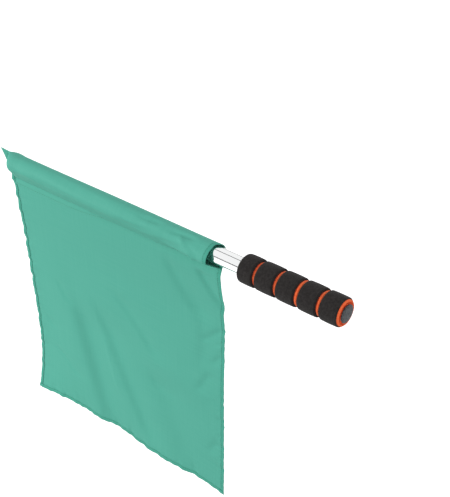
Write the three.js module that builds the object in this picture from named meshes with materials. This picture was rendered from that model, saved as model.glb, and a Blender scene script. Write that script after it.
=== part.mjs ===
import * as THREE from 'three';

// A linesman's hand flag, held level with its cloth hanging. All lengths are in millimetres.
// The origin is on the pole's axis at the middle of the grip's third collar. +X runs to the butt,
// -X to the cloth's closed tip, +Z is up and -Y is the side of the pocket's front layer.

// The tube and the plugs in its two ends
const poleRadius = 9.5;
const tubeWall = 0.8;
const poleLength = 481.5;
const plugSlide = 0.3;
const plugHeadSeat = 0.3;
const plugStemLength = 18;
const plugRibCount = 3;
const plugRibHeight = 0.9;
const plugRibWidth = 1.6;
const plugRibFlat = 0.5;
const plugWall = 2.2;
const tipHeadRadius = 10.2;
const tipRimLength = 1.5;
const tipDomeHeight = 5;
const capHeadRadius = 10.1;
const capHeadLength = 1.5;
const capEdgeRadius = 0.8;
const capFlatRadius = 7.2;
const capDomeHeight = 0.3;

// The foam grip: a core turned with grooves, and collars laid on it between them. The two reaches
// run from the third collar's middle to the outer ends of the first collar and the last.
const gripRadius = 16;
const collarPitch = 26.6;
const gripFarReach = 60.5;
const gripButtReach = 63.5;
const coreRadius = 14.4;
const foamSeat = 0.3;
const grooveWidth = 5.2;
const grooveDepth = 1;
const grooveWidthShares = [0.84, 0.92, 1.08, 1];
const coreEndLength = 1.6;
const coreEndDepth = 1.4;
const coreButtProud = 1.7;
const coreFarSetback = 0.5;
const collarEdgeLength = 1.2;
const collarEdgeDepth = 1;
const collarEndLength = 2.4;
const collarEndDepth = 1.1;
const edgeLimitShare = 0.85;

// The cloth: a pocket over the tube, and the panel that hangs below its seam
const clothThickness = 0.6;
const clothGap = 0.3;
const seamGap = 0.7;
const flagLength = 330;
const flagDrop = 350;
const poleShown = 36.5;
const seamDrop = 29;
const seamSetback = 3;

// The pocket is loose near its mouth, where its front layer stands away from the tube
const liftHeight = 1.8;
const liftLength = 285;
const liftFullLength = 140;
const flareLength = 100;
const mouthForward = 10.5;
const mouthCornerAngle = 92;
const mouthLeanBackAngle = 20;

// Past the tube's end the pocket is sewn flat, and its corner stands out as a pointed ear
const plugEaseLength = 12;
const earLength = 22;
const earBaseLength = 13.2;
const earTopHeight = 11.5;
const earBaseDepth = 24.5;
const earCloseLength = 7.5;
const earSlit = 0.15;
const earShares = [0.09, 0.17, 0.26, 0.35, 0.45, 0.6, 0.8, 1];
const earInnerShare = 0.6;

// The panel hangs a little behind its seam, and its tip edge curls to the back
const hangSetback = 5;
const hangLength = 80;
const curlDepth = 8.8;
const curlLength = 70;
const curlStartShare = 0.1;
const curlFullShare = 0.75;
const cornerTurn = 11;
const cornerStartShare = 0.75;
const waveDepth = 2;
const waveLength = 210;
const waveCrest = 127;
const waveStartShare = 0.35;

// The panel's main folds. Each runs between two places, given as shares of the panel's length from
// the tip and of its height from the seam, and its depth is a share of the fold depth.
const foldDepth = 3.2;
const foldHalfWidth = 17;
const foldGrowShare = 0.4;
const foldFadeShare = 0.7;
const foldEndShare = 1.05;
const foldSeamShare = 0.12;
const foldShares = [
  { from: [0.17, 0.24], to: [0.4, 1], depth: 1 },
  { from: [0.39, 0.42], to: [0.47, 1], depth: -0.5 },
  { from: [0.4, 0.46], to: [0.59, 1], depth: 0.8 },
  { from: [0.43, 0.22], to: [0.72, 0.66], depth: 0.6 },
  { from: [0.85, 0.16], to: [0.87, 0.62], depth: -0.6 },
  { from: [0.7, 0.6], to: [0.92, 0.82], depth: 0.6 },
  { from: [0.84, 0.03], to: [0.94, 0.16], depth: 0.6 },
  { from: [0.97, 0.6], to: [1, 1.3], depth: -1 },
];

// How finely round and soft shapes are divided
const roundSteps = 40;
const cornerSteps = 3;
const domeSteps = 5;
const pocketArcSteps = 6;
const pocketSideSteps = 4;
const pocketPlainSteps = 8;
const pocketFlareSteps = 7;
const panelColumns = 27;
const panelRows = 20;

// Places along the pole, worked out from the sizes above
const gripButt = gripButtReach + coreButtProud;
const coreFar = coreFarSetback - gripFarReach;
const poleTip = gripButt - poleLength;
const domeBaseX = poleTip - plugHeadSeat - tipRimLength;
const mouthX = -gripFarReach - poleShown;
const panelTipX = mouthX - flagLength;
const tubeBore = poleRadius - tubeWall;
const seamZ = -seamDrop;
const panelTopZ = seamZ - seamGap;
const panelHeight = flagDrop + panelTopZ;

const foamBlack = () => new THREE.MeshStandardMaterial({ color: 0x2b2b2b, roughness: 0.95, metalness: 0 });
const foamOrange = () => new THREE.MeshStandardMaterial({ color: 0xf0562a, roughness: 0.9, metalness: 0 });
const steel = () => new THREE.MeshStandardMaterial({ color: 0xdfe2e4, roughness: 0.12, metalness: 1 });
const darkPlastic = () => new THREE.MeshStandardMaterial({ color: 0x4b4f54, roughness: 0.45, metalness: 0 });
const greenCloth = () => new THREE.MeshStandardMaterial({ color: 0x5cb09c, roughness: 0.8, metalness: 0 });

const { lerp, smoothstep, degToRad } = THREE.MathUtils;
const point = (radius, along) => new THREE.Vector2(radius, along);

// Part of an ellipse about a middle place, from one angle to another, counted in quarter turns
function roundCorner(radius, along, depth, length, fromQuarter, toQuarter, steps = cornerSteps) {
  const points = [];
  for (let step = 0; step <= steps; step += 1) {
    const angle = lerp(fromQuarter, toQuarter, step / steps) * Math.PI / 2;
    points.push(point(radius + depth * Math.cos(angle), along + length * Math.sin(angle)));
  }
  return points;
}

// A profile of radius against place along the pole, turned about the pole's axis
function turned(name, profile, material) {
  const mesh = new THREE.Mesh(new THREE.LatheGeometry(profile, roundSteps), material);
  mesh.name = name;
  mesh.rotation.z = -Math.PI / 2;
  return mesh;
}

// A ring's profile ends where it starts
function ring(name, profile, material) {
  return turned(name, [...profile, profile[0].clone()], material);
}

function poleTube() {
  const profile = [
    point(tubeBore, poleTip),
    point(poleRadius, poleTip),
    point(poleRadius, gripButt),
    point(tubeBore, gripButt),
  ];
  return ring('pole_tube', profile, steel());
}

// A plug's stem from its open end inside the tube to the face of its head: the hollow up its
// middle first, then the outside with its tapered ribs
function plugStem(headFace) {
  const ribRadius = tubeBore - plugSlide;
  const stemRadius = ribRadius - plugRibHeight;
  const hollowRadius = stemRadius - plugWall;
  const stemEnd = headFace - plugStemLength;
  const pitch = plugStemLength / plugRibCount;
  const points = [
    point(0, headFace),
    point(hollowRadius, headFace),
    point(hollowRadius, stemEnd),
    point(stemRadius, stemEnd),
  ];
  for (let rib = 0; rib < plugRibCount; rib += 1) {
    const ribEnd = stemEnd + (rib + 1) * pitch - plugRibWidth;
    points.push(point(stemRadius, ribEnd - plugRibWidth));
    points.push(point(ribRadius, ribEnd - plugRibFlat));
    points.push(point(ribRadius, ribEnd));
    points.push(point(stemRadius, ribEnd));
  }
  points.push(point(stemRadius, headFace));
  return points;
}

function buttCap() {
  const headFace = gripButt + plugHeadSeat;
  const headTop = headFace + capHeadLength;
  const edgeRadius = Math.min(capEdgeRadius, (capHeadLength - capDomeHeight) * edgeLimitShare);
  const edgeMiddle = headTop - capDomeHeight - edgeRadius;
  const profile = [
    ...plugStem(headFace),
    point(capHeadRadius, headFace),
    ...roundCorner(capHeadRadius - edgeRadius, edgeMiddle, edgeRadius, edgeRadius, 0, 1),
    point(capFlatRadius, headTop),
    point(0, headTop),
  ];
  return turned('butt_cap', profile, darkPlastic());
}

// Its profile grows towards the tip, so it is turned end for end
function tipPlug() {
  const headFace = plugHeadSeat - poleTip;
  const dome = roundCorner(0, -domeBaseX, tipHeadRadius, tipDomeHeight, 0, 1, domeSteps);
  const profile = [
    ...plugStem(headFace),
    point(tipHeadRadius, headFace),
    ...dome.slice(0, -1),
    point(0, tipDomeHeight - domeBaseX),
  ];
  const mesh = turned('tip_plug', profile, darkPlastic());
  mesh.rotation.z = Math.PI / 2;
  return mesh;
}

// The grooves' middles lie a pitch apart, half of them on each side of the third collar
function grooveSpans() {
  const firstMiddle = -collarPitch * (grooveWidthShares.length - 1) / 2;
  return grooveWidthShares.map((share, index) => {
    const middle = firstMiddle + index * collarPitch;
    const half = share * grooveWidth / 2;
    return { from: middle - half, to: middle + half };
  });
}

function gripCore() {
  const boreRadius = poleRadius + foamSeat;
  const endRadius = coreRadius - coreEndDepth;
  const profile = [
    point(boreRadius, coreFar),
    ...roundCorner(endRadius, coreFar + coreEndLength, coreEndDepth, coreEndLength, -1, 0),
  ];
  for (const groove of grooveSpans()) {
    profile.push(point(coreRadius, groove.from));
    profile.push(point(coreRadius - grooveDepth, groove.from + grooveDepth));
    profile.push(point(coreRadius - grooveDepth, groove.to - grooveDepth));
    profile.push(point(coreRadius, groove.to));
  }
  profile.push(...roundCorner(endRadius, gripButt - coreEndLength, coreEndDepth, coreEndLength, 0, 1));
  profile.push(point(boreRadius, gripButt));
  return ring('grip_core', profile, foamOrange());
}

// The collars fill the stretches between the grooves. The outer two have rounder edges at the
// grip's ends: the first covers the core's end, and the core stands proud of the last.
function gripCollars() {
  const grooves = grooveSpans();
  const starts = [-gripFarReach, ...grooves.map((groove) => groove.to)];
  const ends = [...grooves.map((groove) => groove.from), gripButtReach];
  const boreRadius = coreRadius + foamSeat;
  const mostDepth = (gripRadius - boreRadius) * edgeLimitShare;
  const edge = { depth: Math.min(collarEdgeDepth, mostDepth), length: collarEdgeLength };
  const end = { depth: Math.min(collarEndDepth, mostDepth), length: collarEndLength };
  return starts.map((from, index) => {
    const to = ends[index];
    const first = index === 0 ? end : edge;
    const last = index === starts.length - 1 ? end : edge;
    const profile = [
      point(boreRadius, from),
      ...roundCorner(gripRadius - first.depth, from + first.length, first.depth, first.length, -1, 0),
      ...roundCorner(gripRadius - last.depth, to - last.length, last.depth, last.length, 0, 1),
      point(boreRadius, to),
    ];
    return ring(`grip_collar_${index + 1}`, profile, foamBlack());
  });
}

// A faceted skin made of rows of points
class Surface {
  constructor() {
    this.positions = [];
    this.faces = [];
  }

  addRow(points) {
    const first = this.positions.length / 3;
    for (const place of points) {
      this.positions.push(place.x, place.y, place.z);
    }
    return points.map((_, index) => first + index);
  }

  addTriangle(a, b, c) {
    this.faces.push(a, b, c);
  }

  addQuad(a, b, c, d) {
    this.faces.push(a, b, c, a, c, d);
  }

  // Joins two rows side by side, as a loop or as an open strip
  joinRows(first, second, loop) {
    const count = loop ? first.length : first.length - 1;
    for (let index = 0; index < count; index += 1) {
      const next = (index + 1) % first.length;
      this.addQuad(first[index], first[next], second[next], second[index]);
    }
  }

  // Closes a loop whose two halves face each other, from its first point to the one opposite
  closeLoop(loop, towardsMouth) {
    const half = loop.length / 2;
    const turn = towardsMouth ? loop : [loop[0], ...loop.slice(1).reverse()];
    this.addTriangle(turn[0], turn[1], turn[turn.length - 1]);
    for (let index = 1; index < half - 1; index += 1) {
      this.addQuad(turn[index], turn[index + 1], turn[turn.length - index - 1], turn[turn.length - index]);
    }
    this.addTriangle(turn[half - 1], turn[half], turn[half + 1]);
  }

  mesh(name, material) {
    const geometry = new THREE.BufferGeometry();
    geometry.setAttribute('position', new THREE.Float32BufferAttribute(this.positions, 3));
    geometry.setIndex(this.faces);
    geometry.computeVertexNormals();
    const mesh = new THREE.Mesh(geometry, material);
    mesh.name = name;
    return mesh;
  }
}

// The stations of the pocket, from its open mouth to its closed ear. Each has a place on the pole,
// a share of the mouth's flare, the free radius inside the cloth and a share of the ear.
function pocketStations() {
  const stations = [];
  const flareEnd = mouthX - flareLength;
  const easeStart = poleTip + plugEaseLength;
  const addStation = (x, ear) => {
    const flare = 1 - smoothstep(mouthX - x, 0, flareLength);
    const lift = liftHeight * (1 - smoothstep(mouthX - x, liftFullLength, liftLength));
    const ease = smoothstep(easeStart - x, 0, plugEaseLength);
    const radius = lerp(poleRadius, tipHeadRadius, ease) + clothGap + lift;
    stations.push({ x, flare: flare * flare, radius, ear });
  };
  for (let step = 0; step < pocketFlareSteps; step += 1) {
    addStation(lerp(mouthX, flareEnd, step / pocketFlareSteps), 0);
  }
  for (let step = 0; step < pocketPlainSteps; step += 1) {
    addStation(lerp(flareEnd, easeStart, step / pocketPlainSteps), 0);
  }
  addStation(easeStart, 0);
  addStation(poleTip, 0);
  addStation(domeBaseX, 0);
  for (const share of earShares) {
    addStation(domeBaseX, share);
  }
  return stations;
}

// One section of the pocket's inner face, from the seam up the back, over the top and down the
// front. Angles are from straight up, and grow to the front.
function pocketLoop({ flare, radius }) {
  const seamReach = Math.hypot(seamSetback, seamDrop - clothThickness);
  const seamLean = Math.atan2(seamSetback, seamDrop - clothThickness);
  const tangent = Math.acos(radius / seamReach);
  const backAngle = -(Math.PI - seamLean - tangent);
  const frontAngle = lerp(Math.PI + seamLean - tangent, degToRad(mouthCornerAngle), flare);
  const seam = new THREE.Vector2(seamSetback, clothThickness - seamDrop);
  const arcPoint = (angle) => {
    const forward = smoothstep(angle, -degToRad(mouthLeanBackAngle), Math.PI / 2);
    const reach = radius + flare * mouthForward * forward;
    return new THREE.Vector2(-reach * Math.sin(angle), reach * Math.cos(angle));
  };
  const loop = [];
  for (let step = 0; step < pocketSideSteps; step += 1) {
    loop.push(seam.clone().lerp(arcPoint(backAngle), step / pocketSideSteps));
  }
  for (let step = 0; step < pocketArcSteps; step += 1) {
    loop.push(arcPoint(lerp(backAngle, 0, step / pocketArcSteps)));
  }
  for (let step = 0; step < pocketArcSteps; step += 1) {
    loop.push(arcPoint(lerp(0, frontAngle, step / pocketArcSteps)));
  }
  for (let step = 0; step < pocketSideSteps; step += 1) {
    loop.push(arcPoint(frontAngle).lerp(seam, step / pocketSideSteps));
  }
  return loop;
}

// The outer face stands off the inner one by the cloth's thickness
function grownLoop(loop, distance) {
  return loop.map((place, index) => {
    const before = loop[(index + loop.length - 1) % loop.length];
    const after = loop[(index + 1) % loop.length];
    const along = after.clone().sub(before).normalize();
    return new THREE.Vector2(place.x + along.y * distance, place.y - along.x * distance);
  });
}

// How far a place of an ear's section lies past the plug's rim, by its height in the section
const earReach = (station, rise) => station.ear * lerp(earBaseLength, earLength, rise * rise);
const riseIn = (loop, place) => (place.y - loop[0].y) / (loop[loop.length / 2].y - loop[0].y);

// Past the plug's rim the section closes round its dome to two layers, and turns up to the ear
function earLoop(loop, station) {
  const raised = station.ear * station.ear;
  return loop.map((place) => {
    const rise = riseIn(loop, place);
    const reached = Math.min(earReach(station, rise) / earCloseLength, 1);
    const closing = 1 - Math.sqrt(1 - reached * reached);
    const height = lerp(place.y, lerp(-earBaseDepth, earTopHeight, rise), raised);
    const flat = lerp(seamSetback, 0, rise);
    const slit = Math.sign(place.x - flat) * Math.min(earSlit, Math.abs(place.x - flat));
    return new THREE.Vector2(lerp(place.x, flat + slit, closing), height);
  });
}

function flagPocket() {
  const surface = new Surface();
  const outer = [];
  const inner = [];
  for (const station of pocketStations()) {
    const loop = earLoop(pocketLoop(station), station);
    const placed = (place) => {
      return new THREE.Vector3(station.x - earReach(station, riseIn(loop, place)), place.x, place.y);
    };
    outer.push(surface.addRow(grownLoop(loop, clothThickness).map(placed)));
    if (station.ear <= earInnerShare) {
      inner.push(surface.addRow(loop.map(placed)));
    }
  }
  for (let index = 1; index < outer.length; index += 1) {
    surface.joinRows(outer[index], outer[index - 1], true);
  }
  for (let index = 1; index < inner.length; index += 1) {
    surface.joinRows(inner[index - 1], inner[index], true);
  }
  surface.joinRows(outer[0], inner[0], true);
  surface.closeLoop(outer[outer.length - 1], false);
  surface.closeLoop(inner[inner.length - 1], true);
  return surface.mesh('flag_pocket', greenCloth());
}

// A place on the panel from its shares, seen from the front
function onPanel([alongShare, downShare]) {
  return new THREE.Vector2(lerp(panelTipX, mouthX, alongShare), panelTopZ - panelHeight * downShare);
}

// How far a fold moves a place of the panel to the back
function foldAt(fold, place) {
  const start = onPanel(fold.from);
  const run = onPanel(fold.to).sub(start);
  const offset = place.clone().sub(start);
  const share = offset.dot(run) / run.lengthSq();
  const across = run.cross(offset) / run.length() / foldHalfWidth;
  const grown = smoothstep(share, 0, foldGrowShare);
  const faded = smoothstep(share, foldFadeShare, foldEndShare);
  return fold.depth * foldDepth * grown * (1 - faded) * Math.exp(-across * across);
}

// The panel's middle surface. It hangs behind its seam, its tip edge curls to the back with the
// bottom corner turned forward again, its bottom waves, and the folds run over it.
function panelPlace(alongShare, downShare) {
  const place = onPanel([alongShare, downShare]);
  const fromTip = place.x - panelTipX;
  const nearTip = 1 - smoothstep(fromTip, 0, curlLength);
  const curl = curlDepth * smoothstep(downShare, curlStartShare, curlFullShare);
  const turn = Math.max(0, downShare - cornerStartShare) / (1 - cornerStartShare);
  const wave = Math.cos(2 * Math.PI * (fromTip - waveCrest) / waveLength);
  let setback = seamSetback + hangSetback * smoothstep(panelHeight * downShare, 0, hangLength);
  setback += nearTip * (curl - cornerTurn * turn * turn);
  setback += waveDepth * wave * smoothstep(downShare, waveStartShare, 1);
  for (const fold of foldShares) {
    setback += foldAt(fold, place) * smoothstep(downShare, 0, foldSeamShare);
  }
  return new THREE.Vector3(place.x, setback, place.y);
}

function flagPanel() {
  const surface = new Surface();
  const half = clothThickness / 2;
  const fronts = [];
  const backs = [];
  for (let row = 0; row <= panelRows; row += 1) {
    const places = [];
    for (let column = 0; column <= panelColumns; column += 1) {
      places.push(panelPlace(column / panelColumns, row / panelRows));
    }
    const moved = (distance) => places.map((place) => place.clone().setY(place.y + distance));
    fronts.push(surface.addRow(moved(-half)));
    backs.push(surface.addRow(moved(half)));
  }
  for (let row = 1; row <= panelRows; row += 1) {
    surface.joinRows(fronts[row], fronts[row - 1], false);
    surface.joinRows(backs[row - 1], backs[row], false);
  }
  surface.joinRows(fronts[0], backs[0], false);
  surface.joinRows(backs[panelRows], fronts[panelRows], false);
  const firstColumn = (rows) => rows.map((row) => row[0]);
  const lastColumn = (rows) => rows.map((row) => row[panelColumns]);
  surface.joinRows(firstColumn(backs), firstColumn(fronts), false);
  surface.joinRows(lastColumn(fronts), lastColumn(backs), false);
  return surface.mesh('flag_panel', greenCloth());
}

const flag = new THREE.Group();
flag.add(poleTube());
flag.add(tipPlug());
flag.add(buttCap());
flag.add(gripCore());
flag.add(...gripCollars());
flag.add(flagPocket());
flag.add(flagPanel());

export default flag;
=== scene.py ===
# %% [markdown]
# # A linesman's hand flag
#
# The flag is a steel tube with a foam grip on one end. A green cloth hangs from it by a pocket.
# The solids that carry and move everything come from the frame. This file gives each of them the
# surface that the eye sees: turned foam, polished steel, moulded plastic and one sewn cloth.

# %% Load the frame
import math

import bpy
import numpy as np
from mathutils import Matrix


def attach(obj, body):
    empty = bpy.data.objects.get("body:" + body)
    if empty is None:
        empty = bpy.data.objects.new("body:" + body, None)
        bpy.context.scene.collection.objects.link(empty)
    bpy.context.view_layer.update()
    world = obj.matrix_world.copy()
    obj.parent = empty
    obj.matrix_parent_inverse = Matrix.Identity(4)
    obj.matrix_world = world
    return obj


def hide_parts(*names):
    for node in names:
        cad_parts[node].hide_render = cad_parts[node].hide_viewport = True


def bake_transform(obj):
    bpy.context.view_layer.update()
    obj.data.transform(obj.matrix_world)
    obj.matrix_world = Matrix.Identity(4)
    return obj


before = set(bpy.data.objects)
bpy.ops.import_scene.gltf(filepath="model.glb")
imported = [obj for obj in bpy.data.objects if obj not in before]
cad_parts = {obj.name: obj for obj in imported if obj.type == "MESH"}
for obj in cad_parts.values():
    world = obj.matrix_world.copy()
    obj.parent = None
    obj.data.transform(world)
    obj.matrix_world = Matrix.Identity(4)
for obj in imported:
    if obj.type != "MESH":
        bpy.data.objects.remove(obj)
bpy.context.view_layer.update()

# %% [markdown]
# ## Materials
#
# A material in Blender is a small graph of nodes that ends in one shader. One function adds a node
# and fills its sockets, so that each graph below reads as a list of what feeds what. Colours are
# written the way that an image editor shows them (sRGB) and turned to the linear values that the
# shader works in.

# %% Helpers for materials
MM = 0.001


def linear(hex_colour):
    """An sRGB colour such as '#5cb09c' as linear red, green, blue and alpha."""
    parts = [int(hex_colour[at : at + 2], 16) / 255 for at in (1, 3, 5)]
    return [c / 12.92 if c <= 0.04045 else ((c + 0.055) / 1.055) ** 2.4 for c in parts] + [1.0]


def fill(tree, node, inputs):
    """Fills a node's sockets with values or with other nodes' sockets."""
    for socket, value in inputs.items():
        if isinstance(value, bpy.types.NodeSocket):
            tree.links.new(value, node.inputs[socket])
        else:
            node.inputs[socket].default_value = value


def add_node(tree, kind, inputs=None, **settings):
    """Adds a node with its settings, and fills its sockets."""
    node = tree.nodes.new("ShaderNode" + kind)
    for name, value in settings.items():
        setattr(node, name, value)
    fill(tree, node, inputs or {})
    return node


def new_material(name, **values):
    """A material with one Principled shader, whose plain values are set on its own sockets."""
    material = bpy.data.materials.new(name)
    material.use_nodes = True
    shader = material.node_tree.nodes["Principled BSDF"]
    for socket, value in values.items():
        shader.inputs[socket.replace("_", " ")].default_value = value
    print("material:", name)
    return material, material.node_tree, shader


# %% [markdown]
# ### Foam
#
# The grip is closed-cell EVA foam, turned on a lathe from extruded rod. Turning cuts the cells
# open, so the surface is matt, and fine pits scatter the light: black foam looks charcoal. The
# cells could be modelled, but they are a fraction of a millimetre wide, so a Voronoi pattern in the
# bump does it. One function makes both colours, because it is one foam in two dyes.

# %% Foam
# Cells of 0.2 mm wouldn't show in the picture, so they are drawn at 0.5 mm. A fleck is a patch of
# cells that the lathe has cut open wider.
CELL, FLECK = 0.5 * MM, 2.4 * MM


def foam(name, mean, pale):
    """Cut foam: a mean colour with paler flecks where the light catches the open cells."""
    material, tree, shader = new_material(name, Roughness=0.94, Specular_IOR_Level=0.2,
                                          Sheen_Weight=0.05, Sheen_Roughness=0.6)
    where = add_node(tree, "TexCoord").outputs["Object"]
    cells = add_node(tree, "TexVoronoi", {"Vector": where, "Scale": 1 / CELL})
    clouds = add_node(tree, "TexNoise", {"Vector": where, "Scale": 1 / FLECK, "Detail": 5.0})
    flecks = add_node(tree, "MapRange", {
        "Value": clouds.outputs["Fac"], "From Min": 0.38, "From Max": 0.72})
    colour = add_node(tree, "Mix", data_type="RGBA", inputs={
        "Factor": flecks.outputs["Result"], "A": linear(mean), "B": linear(pale)})
    bump = add_node(tree, "Bump", {
        "Height": cells.outputs["Distance"], "Strength": 0.35, "Distance": 0.15 * MM})
    fill(tree, shader, {"Base Color": colour.outputs["Result"], "Normal": bump.outputs["Normal"]})
    return material


black_foam = foam("EVA foam, black, turned", "#211e1d", "#302d2c")
orange_foam = foam("EVA foam, orange, turned", "#ff6634", "#ff7f4b")

# %% [markdown]
# ### Steel
#
# The tube is stainless steel, drawn and then polished along its length. Almost all that the eye
# sees is a reflection of the room. The polishing leaves hair-fine lines along the tube, which
# stretch each reflection a little: a noise pattern drawn out along X feeds the roughness.

# %% Steel
# Real polishing lines lie a few hundredths of a millimetre apart. These are coarser, so that they
# show: 0.6 mm wide and 125 mm long.
LINE_WIDTH, LINE_LENGTH = 0.625 * MM, 125 * MM
steel, tree, shader = new_material("stainless steel, polished", Metallic=1.0, Roughness=0.1,
                                   Base_Color=linear("#f3f4f4"))
where = add_node(tree, "TexCoord").outputs["Object"]
along = add_node(tree, "Mapping", {
    "Vector": where, "Scale": (1 / LINE_LENGTH, 1 / LINE_WIDTH, 1 / LINE_WIDTH)})
lines = add_node(tree, "TexNoise", {"Vector": along.outputs["Vector"], "Scale": 1.0, "Detail": 3.0})
gloss = add_node(tree, "MapRange", {
    "Value": lines.outputs["Fac"], "From Min": 0.3, "From Max": 0.7,
    "To Min": 0.06, "To Max": 0.14})
scratch = add_node(tree, "Bump", {
    "Height": lines.outputs["Fac"], "Strength": 0.04, "Distance": 0.02 * MM})
fill(tree, shader, {"Roughness": gloss.outputs["Result"], "Normal": scratch.outputs["Normal"]})

# %% [markdown]
# ### Plastic
#
# The two plugs are moulded polyethylene. The mould was spark-eroded, which leaves an even, satin
# grain of about 0.2 mm on the part: the highlight is broad and a little mottled.

# %% Plastic
# The grain is drawn about twice its real size, so that it shows. The blotches are the mottling.
GRAIN, BLOTCH = 0.45 * MM, 2 * MM
plastic, tree, shader = new_material("polyethylene, dark grey, moulded",
                                     Roughness=0.5, Specular_IOR_Level=0.3)
where = add_node(tree, "TexCoord").outputs["Object"]
grain = add_node(tree, "TexNoise", {"Vector": where, "Scale": 1 / GRAIN, "Detail": 2.0})
blotch = add_node(tree, "TexNoise", {"Vector": where, "Scale": 1 / BLOTCH, "Detail": 3.0})
tone = add_node(tree, "MapRange", {
    "Value": blotch.outputs["Fac"], "From Min": 0.4, "From Max": 0.6})
colour = add_node(tree, "Mix", data_type="RGBA", inputs={
    "Factor": tone.outputs["Result"], "A": linear("#1f2225"), "B": linear("#44484c")})
relief = add_node(tree, "Bump", {
    "Height": grain.outputs["Fac"], "Strength": 0.3, "Distance": 0.05 * MM})
fill(tree, shader, {"Base Color": colour.outputs["Result"], "Normal": relief.outputs["Normal"]})

# %% [markdown]
# ## Turned pieces
#
# The tube, its plugs and the grip are all round about one axis, as if made on a lathe. They could
# be spun from a profile. Here each starts as a circle that is pulled along the axis and widened or
# narrowed, step by step, with Extrude and Scale, because that is easy to follow by hand too.

# %% A helper for turned pieces
# How many sides stand in for a circle
ROUND = 96


def turn(name, profile, ring, material, smooth_angle):
    """Pulls a circle along X through (x, radius) places, in mm. A ring ends where it starts."""
    x, radius = profile[0]
    bpy.ops.mesh.primitive_circle_add(vertices=ROUND, radius=radius * MM, location=(x * MM, 0, 0),
                                      rotation=(0, math.pi / 2, 0))
    piece = bpy.context.object
    piece.name = piece.data.name = name
    bpy.ops.object.mode_set(mode="EDIT")
    bpy.ops.mesh.select_mode(type="EDGE")
    bpy.ops.mesh.select_all(action="SELECT")
    if not ring:
        bpy.ops.mesh.edge_face_add()
    for next_x, next_radius in profile[1:] + ([profile[0]] if ring else []):
        bpy.ops.mesh.extrude_edges_move(TRANSFORM_OT_translate={"value": ((next_x - x) * MM, 0, 0)})
        share = next_radius / radius
        bpy.ops.transform.resize(value=(1, share, share))
        x, radius = next_x, next_radius
    if not ring:
        bpy.ops.mesh.edge_face_add()
    bpy.ops.mesh.select_all(action="SELECT")
    bpy.ops.mesh.remove_doubles(threshold=0.001 * MM)
    bpy.ops.mesh.normals_make_consistent(inside=False)
    bpy.ops.object.mode_set(mode="OBJECT")
    bpy.ops.object.transform_apply(location=True, rotation=True, scale=True)
    bpy.ops.object.shade_smooth_by_angle(angle=math.radians(smooth_angle))
    piece.data.materials.append(material)
    print(name, len(piece.data.polygons), "faces")
    return piece


def rounded(x, radius, length, depth, start, end, steps=6):
    """Part of an ellipse about a middle (x, radius), from one angle to another in quarter turns."""
    angles = [math.pi / 2 * (start + (end - start) * step / steps) for step in range(steps + 1)]
    return [(x + length * math.sin(angle), radius + depth * math.cos(angle)) for angle in angles]


# %% [markdown]
# ### The tube
#
# A cut tube has a sharp edge inside and out, which is always broken with a file or a brush: a
# chamfer of a fifth of a millimetre, which catches the light at the grip's butt.

# %% The tube
GRIP_BUTT, POLE_TIP = 65.2, -416.3
POLE_RADIUS, BORE = 9.5, 8.7
BREAK = 0.2
tube = turn("tube", [
    (POLE_TIP, BORE),
    (POLE_TIP, POLE_RADIUS - BREAK),
    (POLE_TIP + BREAK, POLE_RADIUS),
    (GRIP_BUTT - BREAK, POLE_RADIUS),
    (GRIP_BUTT, POLE_RADIUS - BREAK),
    (GRIP_BUTT, BORE),
], True, steel, 30)
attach(tube, "staff")
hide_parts("pole_tube")

# %% [markdown]
# ### The cap in the butt and the plug in the tip
#
# Both are plugs with a ribbed stem that is pressed into the tube. The ribs point away from the way
# in, so they go in easily and hold. The cap's face is very slightly domed, as a thick moulding's
# face is, and its edge is round because a hand rests on it.

# %% The two plugs
# The radii of a stem's hollow, of the stem and of its ribs
STEM_BORE, STEM, RIB = 5.3, 7.5, 8.4
STEM_LENGTH, RIB_PITCH, RIB_LENGTH = 18, 6, 1.6
# How far a head stands off the tube's end
SEAT = 0.3


def ribbed_stem(face, way):
    """A stem's profile from its open end to its head. way is 1 where the head looks along X."""
    end = face - way * STEM_LENGTH
    points = [(face, STEM_BORE), (end, STEM_BORE), (end, STEM)]
    for rib in range(3):
        last = end + way * ((rib + 1) * RIB_PITCH - RIB_LENGTH)
        points += [(last - way * RIB_LENGTH, STEM), (last - way * 0.5, RIB),
                   (last, RIB), (last, STEM)]
    return points + [(face, STEM)]


CAP_FACE = GRIP_BUTT + SEAT
# The domed face as (height, radius), with a small dimple in the middle
CAP_DOME = [(1.32, 7.2), (1.42, 5), (1.48, 2.5), (1.5, 1.2), (1.36, 0.9)]
cap = turn("cap", ribbed_stem(CAP_FACE, 1) + [(CAP_FACE, 9.9), (CAP_FACE + 0.15, 10.1)]
           + rounded(CAP_FACE + 0.5, 9.3, 0.7, 0.8, 0, 0.9)
           + [(CAP_FACE + out, radius) for out, radius in CAP_DOME], False, plastic, 50)
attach(cap, "staff")
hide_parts("butt_cap")

PLUG_FACE = POLE_TIP - SEAT
# The head's radius, a little more than the tube's
HEAD = 10.2
plug = turn("plug", ribbed_stem(PLUG_FACE, -1) + [(PLUG_FACE, 10), (PLUG_FACE - 0.2, HEAD)]
            + rounded(PLUG_FACE - 1.5, 0, -5, HEAD, 0, 0.97, 12), False, plastic, 50)
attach(plug, "staff")
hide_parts("tip_plug")

# %% [markdown]
# ### The grip
#
# The core is a sleeve of orange foam, pushed on the tube. Four grooves are turned in it. The black
# collars are laid on it between the grooves, and reach down the grooves' walls. Cut foam has no
# hard edge: the corners are round, the core bulges in each groove, and each collar swells a little
# in its middle, because its ends are pulled in where it is glued.

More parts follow.
